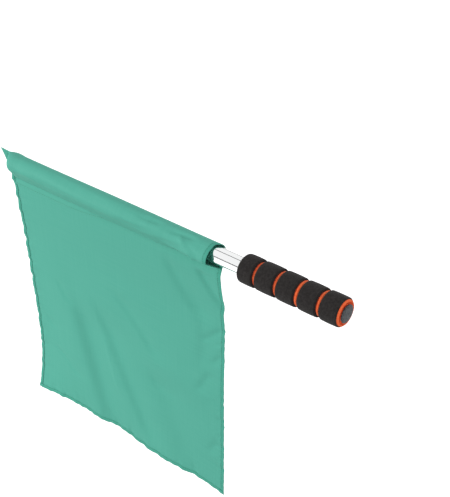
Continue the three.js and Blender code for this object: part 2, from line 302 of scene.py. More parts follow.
# %% The foam core
CORE_RADIUS, CORE_BORE = 14.4, 9.8
CORE_FAR = -60
CORE_CORNER = (1.6, 1.4)
PITCH = 26.6
WIDTHS = (4.37, 4.78, 5.62, 5.2)
GROOVES = []
for index, width in enumerate(WIDTHS):
    middle = PITCH * (index - 1.5)
    GROOVES.append((middle - width / 2, middle + width / 2))
corner_middle = CORE_RADIUS - CORE_CORNER[1]

profile = [(CORE_FAR, CORE_BORE)]
profile += rounded(CORE_FAR + CORE_CORNER[0], corner_middle, *CORE_CORNER, -1, 0)
for start, end in GROOVES:
    # The foam bulges in a groove, the more the wider it is
    crown = CORE_RADIUS - 0.8 + 0.5 * (end - start - WIDTHS[0])
    wall = [(0, CORE_RADIUS), (0.1, CORE_RADIUS - 2.2), (0.5, CORE_RADIUS - 2.1),
            (1.1, crown - 0.6)]
    profile += [(start + inside, radius) for inside, radius in wall]
    profile += [(start * 0.6 + end * 0.4, crown), (start * 0.4 + end * 0.6, crown)]
    profile += [(end - inside, radius) for inside, radius in reversed(wall)]
profile += rounded(GRIP_BUTT - CORE_CORNER[0], corner_middle, *CORE_CORNER, 0, 1)
# The valley round the cap
profile += [(GRIP_BUTT, 12.4), (GRIP_BUTT - 0.5, 12.1), (GRIP_BUTT - 2.6, 11.8),
            (GRIP_BUTT - 3.2, CORE_BORE)]
core = turn("foam_core", profile, True, orange_foam, 50)
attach(core, "staff")
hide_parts("grip_core")

# %% A collar's profile
GRIP_RADIUS = 16
COLLAR_BORE = CORE_RADIUS + 0.3
SWELL = 0.18
# Corners as (length, depth): at a groove and at the grip's two ends
EDGE, END = (1.6, 1.25), (2.4, 1.3)
# How far a collar reaches over a groove, and the thickness and foot of its lip on the groove's wall
OVER, LIP, LIP_FOOT = 0.2, 0.15, 12.7


def collar_end(x, way, corner):
    """A collar's end under its corner. At a groove it reaches down the groove's wall."""
    if corner == END:
        return [(x, COLLAR_BORE)]
    return [(x + way * LIP, COLLAR_BORE), (x + way * LIP, LIP_FOOT), (x, LIP_FOOT)]


def collar_profile(start, end, first, last):
    """A collar from start to end, with its first and its last corner."""
    points = collar_end(start, 1, first)
    points += rounded(start + first[0], GRIP_RADIUS - first[1], *first, -1, 0)
    for share in (0.2, 0.35, 0.5, 0.65, 0.8):
        lift = SWELL * math.sin(math.pi * share)
        x = start + first[0] + (end - last[0] - start - first[0]) * share
        points.append((x, GRIP_RADIUS + lift))
    points += rounded(end - last[0], GRIP_RADIUS - last[1], *last, 0, 1)
    return points + collar_end(end, -1, last)[::-1]


# %% The foam collars
COLLARS_FAR, COLLARS_NEAR = -60.5, 63.5
starts = [COLLARS_FAR] + [groove[1] - OVER for groove in GROOVES]
ends = [groove[0] + OVER for groove in GROOVES] + [COLLARS_NEAR]
for number, (start, end) in enumerate(zip(starts, ends), 1):
    first = END if start == COLLARS_FAR else EDGE
    last = END if end == COLLARS_NEAR else EDGE
    collar = turn(f"foam_collar_{number}", collar_profile(start, end, first, last), True,
                  black_foam, 50)
    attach(collar, "staff")
    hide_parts(f"grip_collar_{number}")

# %% [markdown]
# ## The cloth
#
# The cloth is one rectangle of woven polyester. Its top is folded over to the front and sewn down
# as a pocket, with two rows of stitches. Its sides and bottom are hemmed: turned in by 5 mm and
# stitched. The hems are turned to the side that is inside the pocket, which is also the front of
# the panel.
#
# A cloth simulation could hang it, but this cloth has its folds in known places. So it is made as a
# tailor sees it: one function says where each place of the flat cloth is, and a grid of such places
# is the sheet. A place is given by how far it lies from the mouth's edge, c, and by its row, r:
# 0 to 1 up the front of the pocket, to 2 over the tube, to 3 down the back, and then 1 for each
# 100 mm down the panel.

# %% Where the cloth is: sizes, in millimetres
MOUTH_X, TIP_X = -97.0, -427.0
# Past the plug's head the pocket closes to a point, which takes 10 more units of c
DOME_X = -418.1
PLAIN = MOUTH_X - DOME_X
EAR_UNITS = 10.0
SEAM_Y, SEAM_Z = 3.0, -28.4
PANEL_TOP, BOTTOM = -29.7, -350.0
BOTTOM_DROP = SEAM_Z - BOTTOM
# One row number's worth of the panel
ROW = 100
# The cloth's thickness, how far apart two layers lie, a hem's width, and how far in front of the
# panel the flap lies on its hem
WALL, LAYER, HEM, STACK = 0.26, 0.3, 5.0, 0.75


def smooth(value, start, end):
    """0 up to a start and 1 from an end, with a soft step between them."""
    share = np.clip((value - start) / (end - start), 0, 1)
    return share * share * (3 - 2 * share)


def lerp(first, last, share):
    """A value that lies a share of the way from the first to the last."""
    return first + (last - first) * share


def bell(distance, width):
    """1 in the middle, and fading on both sides."""
    return np.exp(-((distance / width) ** 2))


# %% Folds in the panel
# A cloth that was folded away hangs with long soft folds. Each is a step back with a slow return to
# its right: its course as (x, z) in millimetres, its depth, its half width, how far to the right it
# lasts, and where along its course it starts to fade.
FOLDS = [
    ([(-374, -80), (-347, -179), (-332, -244), (-314, -298), (-296, -350)], 2.5, 15, 60, 2),
    ([(-352, -160), (-332, -244), (-314, -298), (-296, -350)], 5.6, 9, 50, 2),
    ([(-322, -140), (-301, -183), (-285, -215), (-268, -255), (-248, -290), (-213, -350)],
     4.6, 6.5, 40, 0.8),
    ([(-302, -200), (-285, -259), (-272, -300)], -0.9, 2.5, 7, 0.7),
    ([(-290, -118), (-257, -146), (-227, -172), (-203, -207)], 2.3, 3.5, 18, 0.7),
    ([(-186, -30), (-180, -38), (-165, -67), (-144, -99), (-130, -115)], 3.8, 6, 20, 0.7),
    ([(-142, -14), (-133, -32), (-126, -45), (-114, -58), (-99, -76)], 3.4, 3.0, 12, 0.9),
    ([(-134, -136), (-102, -102)], 1.8, 3.5, 8, 0.8),
    ([(-142, -214), (-117, -168)], 1.8, 4, 9, 0.7),
    ([(-124, -300), (-106, -262)], 1.4, 4, 9, 0.7),
    ([(-118, -162), (-101, -138)], 1.4, 3, 7, 0.7),
    ([(-220, -228), (-202, -250)], 1.0, 3, 8, 0.7),
    ([(-380, -152), (-368, -172), (-355, -191)], 1.4, 3.5, 9, 0.7),
    ([(-406, -268), (-386, -283), (-366, -290), (-346, -307)], 1.4, 3, 9, 0.7),
    ([(-413, -226), (-398, -246)], 1.2, 3, 8, 0.7),
    ([(-160, -45), (-145, -75), (-133, -105), (-136, -140), (-143, -195)], 1.6, 6, 20, 0.7),
    ([(-232, -200), (-190, -280), (-160, -350)], 6.0, 20, 50, 2),
]


def fold(x, z, course, half_width, lasts, fade):
    """0 to the left of a curved line, 1 just to its right, fading further on and at its ends."""
    line_x, line_z = np.array(course, float).T
    bend = np.polyfit(line_z, line_x, min(2, len(course) - 1))
    lean = np.polyval(np.polyder(bend), np.clip(z, line_z.min(), line_z.max()))
    across = (x - np.polyval(bend, z)) / np.hypot(1, lean)
    share = (z - line_z[0]) / (line_z[-1] - line_z[0])
    step = 0.5 + 0.5 * np.tanh(across / half_width)
    step = step / (1 + (np.maximum(across, 0) / lasts) ** 2)
    return step * smooth(share, 0, 0.3) * (1 - smooth(share, fade, fade + 0.25))


print(len(FOLDS), "folds")


# %% The panel's bottom edge
even_x = np.linspace(TIP_X, MOUTH_X, 34)


def evened(line_x, line):
    """A line through a few places, with its corners rounded off, at even steps along the cloth."""
    return np.convolve(np.pad(np.interp(even_x, line_x, line), 2, "edge"), np.ones(5) / 5, "valid")


# How far the bottom edge swings out to the back, at places along it
SWING_X = [-427, -400, -380, -355, -330, -305, -280, -240, -205, -150, -97]
SWING_Y = [0, 0, 0, 1.4, 1.4, -1.8, -3.6, -4.0, -6.0, -5.6, -3.8]
swing_line = evened(SWING_X, SWING_Y)
# How far the corners have stretched down
corner_line = evened([-427, -420, -400, -380, -130, -97], [-6, -5.5, -2.7, 0, -0.5, -2.4])
print("the bottom edge swings by", round(float(np.ptp(swing_line)), 1), "mm")

# %% [markdown]
# Stitches gather a hem a little, so its edge ripples and short puckers run in from it. They are
# drawn at random, with dice that always fall the same way.

# %% Ripples and puckers along the hems
dice = np.random.default_rng(11)
RIPPLES = {name: (dice.uniform(9, 32, 7), dice.uniform(0, 2 * math.pi, 7))
           for name in ("mouth", "bottom", "tip", "seam")}


def ripple(place, name):
    """An uneven wave along an edge, from about -1 to 1, as stitching leaves it."""
    lengths, phases = RIPPLES[name]
    return sum(np.sin(2 * math.pi * place / n + p) for n, p in zip(lengths, phases)) / 3


def draw_puckers(edge, count, places, reaches, leans):
    """Puckers at an edge: where, how far in, which way they lean, depth and half width."""
    return [(edge, dice.uniform(*places), dice.uniform(*reaches), dice.uniform(*leans),
             dice.uniform(0.25, 0.6), dice.uniform(2, 4)) for _ in range(count)]


PUCKERS = draw_puckers("mouth", 22, (-345, -60), (10, 34), (-0.9, 0.9))
PUCKERS += draw_puckers("bottom", 26, (-420, -105), (10, 30), (-1, 0.3))
PUCKERS += draw_puckers("tip", 20, (-340, -60), (8, 26), (-1, 0.4))


def pucker(x, z, edge, place, reach, lean, half_width):
    """A short groove that starts at an edge and dies out further in."""
    if edge == "bottom":
        inside, across = z - BOTTOM, x - place - lean * (z - BOTTOM)
    else:
        inside = MOUTH_X - x if edge == "mouth" else x - TIP_X
        across = z - place - lean * inside
    return bell(across, half_width) * (1 - smooth(inside, 0.3 * reach, reach))


print(len(PUCKERS), "puckers")


# %% How the panel hangs
# The corner below the tip is turned back, and in its lowest quarter it curls forward again
TURNED_BACK, CURL, CORNER = 8.8, 11, 105


def hang(x, z):
    """How far behind the tube's axis the panel hangs at a place."""
    down = np.maximum((z - PANEL_TOP) / (BOTTOM - PANEL_TOP), 0)
    near_tip = 1 - smooth(x - TIP_X, 0, CORNER)
    back = TURNED_BACK * smooth(down, 0.1, 0.75) - CURL * (np.maximum(0, down - 0.75) / 0.25) ** 2
    y = SEAM_Y + 5 * smooth(PANEL_TOP - z, 0, 80) + near_tip * back
    y = y + np.interp(x, even_x, swing_line) * smooth(down, 0.2, 1)
    for course, depth, half_width, lasts, fade in FOLDS:
        y = y + depth * fold(x, z, course, half_width, lasts, fade) * smooth(down, 0, 0.03)
    hem = bell(MOUTH_X - x, 9) * 0.25 * ripple(z, "mouth")
    hem = hem + bell(z - BOTTOM, 10) * 0.5 * ripple(x, "bottom")
    hem = hem + bell(x - TIP_X, 11) * 0.6 * ripple(z, "tip")
    for edge, place, reach, lean, depth, half_width in PUCKERS:
        hem = hem + depth * pucker(x, z, edge, place, reach, lean, half_width)
    return y + hem * smooth(down, 0, 0.1)


# %% The pocket's section
# The flap, which is the hemmed end of the front layer, lies flat on the panel and is sewn down.
# Above its stitches the cloth rises to the tube. Both the flap's edge and the line where it leaves
# the panel run a little unevenly: their heights at places along the tube.
LINE_X = [-427, -380, -330, -300, -275, -250, -200, -160, -125, -97]
EDGE_Z = [-32.0, -32.0, -31.6, -29.8, -25.0, -21.8, -22.0, -23.2, -22.4, -23.0]
SEWN_Z = [-22.8, -22.6, -22.4, -22.0, -20.8, -18.8, -18.8, -19.4, -19.4, -20.6]
edge_line, sewn_line = evened(LINE_X, EDGE_Z), evened(LINE_X, SEWN_Z)
# At the mouth the front layer stands this far off the tube, down to this angle from the top
FLARE, MOUTH_ANGLE = 5.3, math.radians(108)


def slack(x):
    """How far the cloth stands off the tube."""
    return lerp(1.4, 2.0, 1 - smooth(MOUTH_X - x, 140, 285))


def pocket_shape(x):
    """The pocket at x: its flare, its radius, the flap's edge and its upper end, and its angles."""
    flare = (1 - smooth(MOUTH_X - x, 0, 100)) ** 2
    radius = lerp(POLE_RADIUS, HEAD, smooth(POLE_TIP + 12 - x, 0, 12)) + 0.6 + slack(x)
    tangent = np.arccos(radius / math.hypot(SEAM_Y, SEAM_Z))
    back = -(math.pi - math.atan2(SEAM_Y, -SEAM_Z) - tangent)
    back_y, back_z = -radius * np.sin(back), radius * np.cos(back)
    edge_z, sewn_z = np.interp(x, even_x, edge_line), np.interp(x, even_x, sewn_line)
    stack = STACK * (1 + smooth(x, -109, -101))
    edge_share = np.maximum(edge_z - SEAM_Z, 0) / (back_z - SEAM_Z)
    edge_y = lerp(SEAM_Y, back_y, edge_share) - stack
    sewn_y = lerp(SEAM_Y, back_y, (sewn_z - SEAM_Z) / (back_z - SEAM_Z)) - stack
    tangent = np.arccos(radius / np.hypot(sewn_y, sewn_z))
    front = math.pi + np.arctan2(sewn_y, -sewn_z) - tangent
    return flare, radius, (edge_y, edge_z), (sewn_y, sewn_z), lerp(front, MOUTH_ANGLE, flare), back


def arc_place(flare, radius, angle):
    """A place round the tube, at an angle from the top towards the front."""
    reach = radius + flare * FLARE * smooth(angle, math.radians(22), MOUTH_ANGLE)
    return -reach * np.sin(angle), reach * np.cos(angle)


def front_lengths(shape):
    """The flap's length, the slack's from there up to the tube, and the flap's share of both."""
    flare, radius, edge, sewn, front, _ = shape
    front_y, front_z = arc_place(flare, radius, front)
    flat_length = np.hypot(sewn[0] - edge[0], sewn[1] - edge[1])
    slack_length = np.hypot(front_y - sewn[0], front_z - sewn[1])
    return flat_length, slack_length, flat_length / (flat_length + slack_length)


def section(shape, r):
    """The pocket's section before it is creased: y, z and the angle round the tube."""
    flare, radius, edge, sewn, front, back = shape
    angle = lerp(front, back, np.clip(r - 1, 0, 1))
    arc, top, low = [arc_place(flare, radius, turned) for turned in (angle, front, back)]
    side, rear = np.clip(r, 0, 1), np.clip(r - 2, 0, 1)
    # Along the front layer, the flat flap turns into the slack above it in a soft bend
    bend = front_lengths(shape)[2]
    past = 0.02 * np.logaddexp(0, (side - bend) / 0.02)
    y, z = [np.where(r < 1, (edge[k] + (sewn[k] - edge[k]) * (side - past) / bend
                             + (top[k] - sewn[k]) * past / (1 - bend)),
                     np.where(r < 2, arc[k], lerp(low[k], (SEAM_Y, SEAM_Z)[k], rear)))
            for k in (0, 1)]
    return y, z, angle


# %% Creases in the pocket
# Their ends as (x, degrees from the top towards the front), their height and half width
POCKET_CREASES = [
    ((-208, 42), (-170, 20), -2.0, 2.4),
    ((-166, 42), (-118, 28), -2.2, 2.4),
    ((-200, 66), (-166, 62), 1.0, 3),
    ((-146, 44), (-112, 128), 2.2, 2.2),
    ((-136, 70), (-106, 112), -1.4, 2.4),
    ((-250, 78), (-196, 92), 0.8, 3.5),
    ((-180, 126), (-130, 96), -1.6, 2.6),
    ((-240, 120), (-186, 104), -1.4, 2.8),
    ((-330, 84), (-262, 92), 0.5, 3.5),
    ((-372, 102), (-300, 114), -1.0, 2.6),
    ((-400, 96), (-372, 84), 0.7, 4),
    ((-350, 30), (-290, 48), -0.7, 3.5),
    ((-290, 62), (-250, 46), -0.8, 2.6),
    ((-128, 60), (-104, 52), -1.0, 2.4),
]
CREASE_RADIUS = 11.5
# Where the two rows of stitches run, as shares of the flap's length
SEAM_ROWS = (0.15, 0.85)
print(len(POCKET_CREASES), "creases")


def ridge(x, around, start, end, half_width):
    """1 on a straight line, fading across it and at its ends."""
    run_x, run_s = end[0] - start[0], end[1] - start[1]
    length = math.hypot(run_x, run_s)
    share = ((x - start[0]) * run_x + (around - start[1]) * run_s) / length**2
    across = (run_x * (around - start[1]) - run_s * (x - start[0])) / length
    return smooth(share, -0.1, 0.3) * (1 - smooth(share, 0.7, 1.1)) * bell(across, half_width)


def standing_off(x, ear, r, shape, angle):
    """How far the cloth stands out from the section, by its slack, creases and stitches."""
    flare, radius, _, _, front, _ = shape
    side = np.clip(r, 0, 1)
    flat_length, slack_length, bend = front_lengths(shape)
    loose = np.clip((side - bend) / (1 - bend), 0, 1)
    # The front layer is slack above its stitches, most of all in the tube's middle
    hollow = smooth(x, -310, -255) * (1 - smooth(x, -190, -150))
    sag = lerp(1.6, 4.2, hollow)
    out = sag * np.sin(math.pi * loose ** lerp(0.55, 0.36, hollow)) * (r < 1) * (1 - flare)
    around = np.where(r < 1, radius * front + (1 - side) * (flat_length + slack_length),
                      radius * angle)
    for start, end, height, half_width in POCKET_CREASES:
        first, last = [(place, math.radians(turned) * CREASE_RADIUS)
                       for place, turned in (start, end)]
        out = out + height * ridge(x, around, first, last, half_width) * smooth(loose, 0, 0.2)
    out = out - 0.35 * ripple(x, "seam") * bell(loose * 24, 6) * smooth(loose, 0, 0.08) * (r < 1)
    # Each row of stitches pulls the flap in
    for share in SEAM_ROWS:
        out = out - 0.3 * bell((side / bend - share) * flat_length, 0.5) * (r < 1)
    out = out * (1 - np.clip(ear * 3, 0, 1)) * (r < 1.6)
    return np.maximum(out, -(slack(x) + 0.2 + 8 * (1 - side) ** 2))


# %% A place on the pocket
# How far the front layer is drawn back at the mouth
PULL = 4.0
# The closed end: how far it reaches out at the seam and at the top, and how high its point is
EAR_LOW, EAR_HIGH, EAR_TOP = 13.2, 23.5, 13


def closed_end(ear, radius, y, z):
    """Past the tube's end the two layers close and turn up to a point. Also says how far out."""
    rise = np.clip((z - SEAM_Z) / (radius - SEAM_Z), -0.1, 1)
    reach = ear * lerp(EAR_LOW, EAR_HIGH, rise * rise)
    closed = np.clip(reach / 7.5, 0, 1)
    closed = 1 - np.sqrt(1 - closed * closed)
    flat = lerp(SEAM_Y, 0, rise)
    room = 0.45 + 0.45 * bell(rise * 5, 1)
    apart = np.sign(y - flat) * np.minimum(room, np.abs(y - flat))
    y = lerp(y, flat + apart, closed)
    z = lerp(z, lerp(-24.5, EAR_TOP, rise), np.clip(ear, 0, None) ** 2)
    return y, z, reach


def on_pocket(x, ear, r):
    """A place on the pocket. ear is 0 along the tube, and grows to 1 at the pocket's point."""
    shape = pocket_shape(x)
    y, z, angle = section(shape, r)
    out = standing_off(x, ear, r, shape, angle)
    y, z, reach = closed_end(ear, shape[1], y - out * np.sin(angle), z + out * np.cos(angle))
    # At the mouth the front layer is drawn back a little
    drawn = smooth(angle, math.radians(-30), math.radians(8)) * smooth(r, 0, 1)
    drawn = PULL * drawn * (1 - smooth(MOUTH_X - x, 0, 60))
    return np.stack([x - reach - drawn, y, z], -1)


# %% A place on the cloth
# How far below the seam the pocket's form has turned into the panel's
JOIN = 7


def cloth_place(c, r):
    """Where a place of the flat cloth is, in millimetres."""
    x = MOUTH_X - np.minimum(c, PLAIN)
    ear = np.maximum(c - PLAIN, 0) / EAR_UNITS
    above = on_pocket(x, ear, np.minimum(r, 3.0))
    drop = np.maximum(r - 3, 0) * ROW
    near_mouth = 1 - smooth(MOUTH_X - x, 0, 120)
    panel_x = x + ear * (TIP_X - DOME_X) + 0.9 * smooth(drop, 10, 60) * near_mouth
    panel_z = SEAM_Z - drop
    tip_wave = bell(panel_x - TIP_X, 14) * 0.7 * ripple(panel_z + 40, "tip")
    low_wave = bell(panel_z - BOTTOM, 10) * 0.45 * ripple(panel_x + 60, "bottom")
    low_wave = low_wave + np.interp(panel_x, even_x, corner_line) * smooth(drop, 120, BOTTOM_DROP)
    below = np.stack([panel_x + tip_wave * smooth(drop, 0, 20), hang(panel_x, panel_z),
                      panel_z + low_wave], -1)
    hung = above + np.stack([0 * drop, 0 * drop, -drop], -1)
    share = smooth(drop, 0, JOIN)[..., None]
    return np.where((r > 3)[..., None], lerp(hung, below, share), above)


mouth = cloth_place(np.zeros(2), np.array([1.5, 3.0]))
print("the mouth's top and its seam:", mouth.round(1).tolist())

# %% [markdown]
# ### From places to a sewn sheet
#
# A hem is the same cloth, turned back over itself. In the grid it is a few more columns and rows:
# they go round a tight bend and then back along the sheet, one layer further in. Where two hems
# meet in a corner, the second one is folded round the first, so it stands off by two layers more.

# %% Rows and columns
columns = np.concatenate([np.linspace(0, 24, 13), np.linspace(26, PLAIN, 142),
                          PLAIN + EAR_UNITS * np.linspace(0, 1, 15)[1:]])
front_rows = np.concatenate([np.linspace(0, 0.3, 23), np.linspace(0.34, 1, 12)])
arc_rows = 1 + np.linspace(0, 1, 23)[1:]
back_rows = 2 + np.linspace(0, 1, 12)[1:]
last_row = 3 + BOTTOM_DROP / ROW
panel_rows = 3 + (last_row - 3) * np.linspace(0, 1, 146)[1:]
rows = np.concatenate([front_rows, arc_rows, back_rows, panel_rows])

# %% A hem's lines
# For one edge: how far in from it each line of the hem lies, how far out it is pushed, its layer,
# and how far past the edge it lies in the flat cloth
BEND = LAYER / 2
turned_in = np.array([HEM, HEM * 0.66, HEM * 0.33, 0.0])
turns = np.array([0.75, 0.5, 0.25])
inward = np.concatenate([turned_in, 0 * turns])
outward = np.concatenate([0 * turned_in, np.sin(turns * math.pi)])
layer = np.concatenate([1 + 0 * turned_in, (1 - np.cos(turns * math.pi)) / 2])
beyond = BEND * math.pi * np.concatenate([1 + 0 * turned_in, turns]) + inward


def hemmed(main):
    """All lines of the sheet: place, how far in and out, layer, how far beyond, and which way."""
    none = 0 * inward
    place = np.concatenate([none, main, none + main[-1]])
    both = [np.concatenate([hem, 0 * main, hem[::-1]]) for hem in (inward, outward, layer, beyond)]
    return [place, *both, np.concatenate([none + 1, 0 * main, none - 1])]


column_c, column_in, column_out, column_layer, column_beyond, column_way = hemmed(columns)
row_r, row_in, row_out, row_layer, row_beyond, row_way = [line[:, None] for line in hemmed(rows)]
print(len(row_r), "rows and", len(column_c), "columns")


# %% Fold the hems and place the grid
# Small steps in c and r, for measuring how the cloth runs
NUDGE_C, NUDGE_R = 0.2, 0.004


def steps_at(c, r):
    """The steps to the next column and row at a place, and the way into the pocket."""
    low, high = np.clip(c - NUDGE_C, 0, columns[-1]), np.clip(c + NUDGE_C, 0, columns[-1])
    by_column = (cloth_place(high, r) - cloth_place(low, r)) / (high - low)[..., None]
    low, high = np.clip(r - NUDGE_R, 0, rows[-1]), np.clip(r + NUDGE_R, 0, rows[-1])
    by_row = (cloth_place(c, high) - cloth_place(c, low)) / (high - low)[..., None]
    inwards = np.cross(by_column, by_row)
    inwards /= np.linalg.norm(inwards, axis=-1, keepdims=True) + 1e-12
    return by_column, by_row, inwards


def length_of(steps):
    """The length of each step."""
    return np.linalg.norm(steps, axis=-1)


C, R = np.broadcast_arrays(column_c[None, :], row_r)
by_column, by_row, _ = steps_at(C, R)
C = C + column_way * column_in / length_of(by_column)
R = R + row_way * row_in / length_of(by_row)
by_column, by_row, inwards = steps_at(C, R)
along_c = by_column / length_of(by_column)[..., None]
along_r = by_row / length_of(by_row)[..., None]
# Near a side the bottom hem goes round the side's hem, so it is thicker there
near_side = np.maximum(smooth(C, 9, 6), smooth(columns[-1] - C, 9, 6))
spread = LAYER * (1 + 2 * near_side)
beside = -column_way * column_out * BEND + 0 * C
below = -row_way * row_out * (spread / 2 - LAYER * column_layer)
depth = LAYER * column_layer * (1 - 2 * row_layer) + spread * row_layer
places = cloth_place(C, R) + along_c * beside[..., None] + along_r * below[..., None]
places = places + inwards * depth[..., None]
print("cloth spans", places.reshape(-1, 3).min(0).round(1), places.reshape(-1, 3).max(0).round(1))

# %% The flat cloth's coordinates
plain_c, all_r = np.broadcast_arrays(np.linspace(5, PLAIN - 5, 60)[None, :], rows[:, None])
path = length_of(np.diff(cloth_place(plain_c, all_r), axis=0)).mean(1)
path = np.concatenate([[0], np.cumsum(path)])
flat_u = column_c - column_way * column_beyond
flat_v = hemmed(path)[0][:, None] - row_way * row_beyond

# %% The sheet as a mesh
def new_object(name, data):
    """Puts a new object into the scene."""
    thing = bpy.data.objects.new(name, data)
    bpy.context.scene.collection.objects.link(thing)
    return thing


def mesh_piece(name, points, faces):
    """A new piece from its points, in metres, and its faces."""
    mesh = bpy.data.meshes.new(name)
    mesh.from_pydata(points.tolist(), [], faces)
    return new_object(name, mesh)


count_r, count_c = C.shape
index = np.arange(count_r * count_c).reshape(count_r, count_c)
corners = [index[:-1, :-1], index[1:, :-1], index[1:, 1:], index[:-1, 1:]]
faces = np.stack(corners, -1).reshape(-1, 4)
cloth = mesh_piece("cloth", places.reshape(-1, 3) * MM, faces.tolist())
flat = cloth.data.uv_layers.new(name="flat")
uv = np.stack(np.broadcast_arrays(flat_u[None, :], flat_v), -1).reshape(-1, 2) * MM
flat.data.foreach_set("uv", uv[faces.reshape(-1)].reshape(-1))
cloth.data.polygons.foreach_set("use_smooth", [True] * len(faces))
thicken = cloth.modifiers.new("thickness", "SOLIDIFY")
thicken.thickness = WALL * MM
thicken.offset = 0
bpy.ops.object.select_all(action="DESELECT")
cloth.select_set(True)
bpy.context.view_layer.objects.active = cloth
bpy.ops.object.modifier_apply(modifier="thickness")
print("cloth:", len(cloth.data.polygons), "faces")

# %% [markdown]
# ### The cloth's material
#
# The cloth is polyester taffeta: a plain weave of fine, slightly glossy threads, dyed green. Two
# wave patterns across each other in the flat cloth's own coordinates make the weave, so that it
# follows every fold. Uneven threads are the streaks that make it look woven from afar. Where the
# cloth lies double, less light comes through, and that shade is painted in as a deeper green.

# %% Threads of the woven cloth
# The threads lie 0.25 mm apart. They are drawn twice as coarse, so that a close view shows them.
THREAD = 0.55 * MM
# A thicker piece of thread shows as a streak of 1.1 mm by 71 mm
SLUB_WIDTH, SLUB_LENGTH = MM / 0.9, MM / 0.014


def wave_scale(spacing):
    """The wave texture repeats every pi / 10 at scale 1. This is its scale for a spacing."""
    return math.pi / 10 / spacing


weave, tree, shader = new_material("polyester taffeta, green", Roughness=0.55,
                                   Specular_IOR_Level=0.05, Sheen_Weight=0.02, Sheen_Roughness=0.4)
where = add_node(tree, "UVMap", uv_map="flat").outputs["UV"]
warp, weft = [add_node(tree, "TexWave", {"Vector": where, "Scale": wave_scale(THREAD)},
                       bands_direction=way) for way in ("X", "Y")]
over = add_node(tree, "Math", {0: warp.outputs["Fac"], 1: weft.outputs["Fac"]},
                operation="MULTIPLY")
slubs = []
for scale in ((1 / SLUB_WIDTH, 1 / SLUB_LENGTH, 1), (1 / SLUB_LENGTH, 1 / SLUB_WIDTH, 1)):
    drawn_out = add_node(tree, "Mapping", {"Vector": where, "Scale": scale})
    slubs.append(add_node(tree, "TexNoise", {
        "Vector": drawn_out.outputs["Vector"], "Scale": 1.0, "Detail": 2.0}))
streaks = add_node(tree, "Math", {0: slubs[0].outputs["Fac"], 1: slubs[1].outputs["Fac"]},
                   operation="ADD")
tone = add_node(tree, "MapRange", {
    "Value": streaks.outputs["Value"], "From Min": 0.75, "From Max": 1.25})
green = add_node(tree, "Mix", data_type="RGBA", inputs={
    "Factor": tone.outputs["Result"], "A": linear("#5bb39f"), "B": linear("#5fb6a2")})

# %% Painted shade: a deeper green where the cloth lies double
# Each hem's edge in the flat cloth, and which way is inwards
HEM_EDGES = [("X", 0.0, 1), ("X", float(columns[-1]), -1), ("Y", float(path[-1]), -1)]
flat_place = add_node(tree, "SeparateXYZ", {"Vector": where})
hem_shade_mask = 0.0
for axis, edge, way in HEM_EDGES:
    hem = add_node(tree, "MapRange", {
        "Value": flat_place.outputs[axis],
        "From Min": (edge + way * (HEM + 0.3)) * MM, "From Max": (edge + way * (HEM - 0.3)) * MM})
    hem_shade_mask = add_node(tree, "Math", {0: hem_shade_mask, 1: hem.outputs["Result"]},
                      operation="MAXIMUM").outputs["Value"]
share = add_node(tree, "Math", {0: hem_shade_mask, 1: 0.35}, operation="MULTIPLY")
# Painted shade: the hems are mixed towards a deeper green, for the light that a double layer lets
# through less
painted_hem_shade = add_node(tree, "Mix", data_type="RGBA", inputs={
    "Factor": share.outputs["Value"], "A": green.outputs["Result"], "B": linear("#389b83")})
height = add_node(tree, "Math", {
    0: over.outputs["Value"], 1: streaks.outputs["Value"]}, operation="ADD")
bump = add_node(tree, "Bump", {
    "Height": height.outputs["Value"], "Strength": 0.04, "Distance": 0.1 * MM})
fill(tree, shader, {"Base Color": painted_hem_shade.outputs["Result"], "Normal": bump.outputs["Normal"]})
cloth.data.materials.append(weave)
print(len(HEM_EDGES), "hems in a deeper green")

# %% [markdown]
# ### Stitches
#
# A lockstitch is a row of short threads, 3 mm from one to the next, that dip into the cloth at both
# ends. One stitch is modelled, and then copied along the hems and along the two rows that hold the
# pocket's flap, on both faces of the cloth.

# %% One stitch
# A rod of length 1 and radius 0.5, cut near its ends, which are pushed down into the cloth
CUT_AT, DIP = 0.32, 0.9
bpy.ops.mesh.primitive_cylinder_add(vertices=6, radius=0.5, depth=1, rotation=(0, math.pi / 2, 0))
pattern = bpy.context.object
bpy.ops.object.transform_apply(location=False, rotation=True, scale=True)
bpy.ops.object.mode_set(mode="EDIT")
for x in (-CUT_AT, CUT_AT):
    bpy.ops.mesh.select_all(action="SELECT")
    bpy.ops.mesh.bisect(plane_co=(x, 0, 0), plane_no=(1, 0, 0))
bpy.ops.mesh.select_all(action="DESELECT")
bpy.ops.object.mode_set(mode="OBJECT")
for vertex in pattern.data.vertices:
    vertex.select = abs(vertex.co.x) > 0.4
bpy.ops.object.mode_set(mode="EDIT")
bpy.ops.mesh.select_mode(type="VERT")
bpy.ops.transform.translate(value=(0, 0, -DIP))
bpy.ops.object.mode_set(mode="OBJECT")
stitch_points = np.array([vertex.co for vertex in pattern.data.vertices])
stitch_faces = [list(face.vertices) for face in pattern.data.polygons]
bpy.data.objects.remove(pattern)
print("one stitch:", len(stitch_points), "points")

# %% [markdown]
# The thread is spun polyester of three plies, twisted together. Its green is darker than the
# cloth's, partly its dye and partly painted shade: the dark line of the crease along the seam is
# painted into the thread. Slanting waves in the bump and the colour give the eye the twist, and
# the darker bands of the colour are painted shade between the plies.

# %% Sewing thread
PLY = 0.3 * MM
thread, tree, shader = new_material("polyester sewing thread, green", Roughness=0.45)
where = add_node(tree, "TexCoord").outputs["Object"]
twist = add_node(tree, "TexWave", {"Vector": where, "Scale": wave_scale(PLY)},
                 bands_direction="DIAGONAL")
